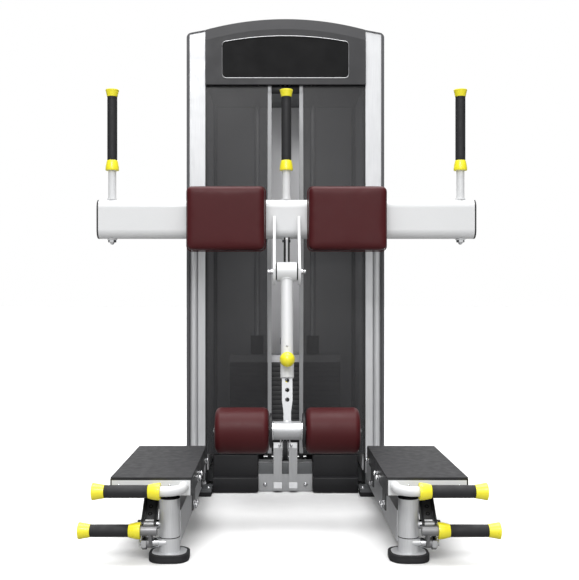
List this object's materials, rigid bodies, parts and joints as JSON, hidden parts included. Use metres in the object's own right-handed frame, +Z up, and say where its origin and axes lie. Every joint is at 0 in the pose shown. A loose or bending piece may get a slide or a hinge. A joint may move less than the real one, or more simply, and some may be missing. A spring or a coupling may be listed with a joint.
{
  "type": "standing leg curl machine",
  "caption": "Selectorised gym machine: thigh pads on a cross beam, a swinging arm with ankle rollers, raisable foot platforms and a shrouded weight tower.",
  "frame": {"origin": "on the floor, at the middle of the machine's outline", "axes": "+Z up, +Y from the user to the weight tower, +X to the user's right when facing the tower"},
  "size_m": [1.194, 1.197, 1.632],
  "materials": {
    "silver_paint": "satin silver powder coat",
    "white_paint": "satin white-silver powder coat",
    "black_paint": "satin black powder coat",
    "grey_paint": "satin grey powder coat",
    "alu": "satin anodised",
    "chrome": "polished",
    "steel": "brushed",
    "stack": "black paint",
    "stack_top": "satin",
    "shroud": "smoked, satin",
    "housing": "satin moulded",
    "display": "gloss",
    "trim": "satin",
    "black_plastic": "satin moulded",
    "yellow": "gloss",
    "rubber": "matt",
    "mat": "fine-grained",
    "vinyl": "smooth vinyl",
    "cable": "smooth coated wire rope"
  },
  "bodies": {
    "machine_frame": {"base_frame": "grey_paint", "rubber_feet": "rubber", "column_left": "alu", "column_right": "alu", "column_trims": "trim", "top_housing": "housing", "display_panel": "display", "front_shroud_left": "shroud", "front_shroud_right": "shroud", "rear_shroud": "shroud", "slot_strips": "alu", "slot_bridge": "black_plastic", "lower_covers": "black_plastic", "low_bracket": "silver_paint", "guide_rods": "chrome", "lower_weights": "stack", "stack_bumpers": "rubber", "main_beam": "white_paint", "beam_end_caps": "black_plastic", "thigh_pad_left": "vinyl", "thigh_pad_right": "vinyl", "pad_mounts": "black_paint", "handle_posts": "white_paint", "handle_grips": "rubber", "handle_caps": "yellow", "pivot_bracket": "white_paint", "pivot_pin": "chrome", "pulley_bracket": "black_paint", "cable_run": "cable", "cable_drop": "cable", "leg_beam_left": "silver_paint", "leg_beam_right": "silver_paint", "front_post_left": "silver_paint", "front_post_right": "silver_paint"},
    "swing_arm": {"swing_arm": "white_paint", "cable_cam": "black_paint"},
    "arm_slider": {"arm_slider": "silver_paint"},
    "roller_left": {"roller_left": "vinyl"},
    "roller_right": {"roller_right": "vinyl"},
    "pull_pin": {"pull_pin": "yellow"},
    "moving_weights": {"weight_top": "stack_top", "lifted_weights": "stack"},
    "selector_pin": {"selector_pin": "chrome"},
    "top_pulley": {"top_pulley": "black_plastic"},
    "front_links_left": {"front_links_left": "black_paint"},
    "rear_links_left": {"rear_links_left": "black_paint"},
    "platform_left": {"platform_left": "black_paint", "platform_mat_left": "mat", "platform_handle_left": "chrome", "platform_grip_left": "rubber"},
    "release_lever_left": {"release_lever_left": "chrome", "lever_grip_left": "rubber"},
    "front_links_right": {"front_links_right": "black_paint"},
    "rear_links_right": {"rear_links_right": "black_paint"},
    "platform_right": {"platform_right": "black_paint", "platform_mat_right": "mat", "platform_handle_right": "chrome", "platform_grip_right": "rubber"},
    "release_lever_right": {"release_lever_right": "chrome", "lever_grip_right": "rubber"}
  },
  "joints": [
    {"name": "weight_lift", "type": "slide", "parent": "machine_frame", "child": "moving_weights", "axis": [0, 0, 1], "range_m": [0, 0.1929], "deforming": ["cable_drop"]},
    {"name": "arm_swing", "type": "hinge", "parent": "machine_frame", "child": "swing_arm", "pos_m": [0, -0.07, 0.75], "axis": [-1, 0, 0], "range_deg": [0, 110.5]},
    {"name": "top_pulley_spin", "type": "hinge", "parent": "machine_frame", "child": "top_pulley", "pos_m": [0, 0.38, 1.44], "axis": [1, 0, 0], "range_deg": [0, 246.6]},
    {"name": "arm_extend", "type": "slide", "parent": "swing_arm", "child": "arm_slider", "axis": [0, -0.2079, -0.9781], "range_m": [-0.0855, 0.057]},
    {"name": "roller_left_spin", "type": "hinge", "parent": "arm_slider", "child": "roller_left", "pos_m": [-0.132, -0.16938, 0.28245], "axis": [1, 0, 0], "continuous": true},
    {"name": "roller_right_spin", "type": "hinge", "parent": "arm_slider", "child": "roller_right", "pos_m": [0.132, -0.16938, 0.28245], "axis": [1, 0, 0], "continuous": true},
    {"name": "pin_pull", "type": "slide", "parent": "swing_arm", "child": "pull_pin", "axis": [0, -0.9781, 0.2079], "range_m": [0, 0.012], "stiffness_N_per_m": 900, "springref_m": -0.006},
    {"name": "selector_slide", "type": "slide", "parent": "moving_weights", "child": "selector_pin", "axis": [0, -1, 0], "range_m": [0, 0.03]},
    {"name": "platform_raise_left", "type": "hinge", "parent": "machine_frame", "child": "front_links_left", "pos_m": [-0.359, -0.478, 0.09], "axis": [1, 0, 0], "range_deg": [0, 40]},
    {"name": "platform_level_left", "type": "hinge", "parent": "front_links_left", "child": "platform_left", "pos_m": [-0.359, -0.37729, 0.18725], "axis": [1, 0, 0], "range_deg": [-40.5, 0.5]},
    {"name": "rear_link_follow_left", "type": "hinge", "parent": "machine_frame", "child": "rear_links_left", "pos_m": [-0.359, -0.19, 0.09], "axis": [1, 0, 0], "range_deg": [-0.5, 40.5]},
    {"name": "lever_press_left", "type": "hinge", "parent": "machine_frame", "child": "release_lever_left", "pos_m": [-0.359, -0.492, 0.047], "axis": [1, 0, 0], "range_deg": [0, 16], "stiffness_Nm_per_rad": 20, "springref_deg": -22.92},
    {"name": "platform_raise_right", "type": "hinge", "parent": "machine_frame", "child": "front_links_right", "pos_m": [0.359, -0.478, 0.09], "axis": [1, 0, 0], "range_deg": [0, 40]},
    {"name": "platform_level_right", "type": "hinge", "parent": "front_links_right", "child": "platform_right", "pos_m": [0.359, -0.37729, 0.18725], "axis": [1, 0, 0], "range_deg": [-40.5, 0.5]},
    {"name": "rear_link_follow_right", "type": "hinge", "parent": "machine_frame", "child": "rear_links_right", "pos_m": [0.359, -0.19, 0.09], "axis": [1, 0, 0], "range_deg": [-0.5, 40.5]},
    {"name": "lever_press_right", "type": "hinge", "parent": "machine_frame", "child": "release_lever_right", "pos_m": [0.359, -0.492, 0.047], "axis": [1, 0, 0], "range_deg": [0, 16], "stiffness_Nm_per_rad": 20, "springref_deg": -22.92}
  ],
  "couplings": [
    {"joint": "arm_swing", "follows": "weight_lift", "rad_per_m": 9.9503},
    {"joint": "top_pulley_spin", "follows": "weight_lift", "rad_per_m": 22.222},
    {"joint": "platform_level_left", "follows": "platform_raise_left", "ratio": -1},
    {"joint": "rear_link_follow_left", "follows": "platform_raise_left", "ratio": 1},
    {"joint": "platform_level_right", "follows": "platform_raise_right", "ratio": -1},
    {"joint": "rear_link_follow_right", "follows": "platform_raise_right", "ratio": 1}
  ]
}
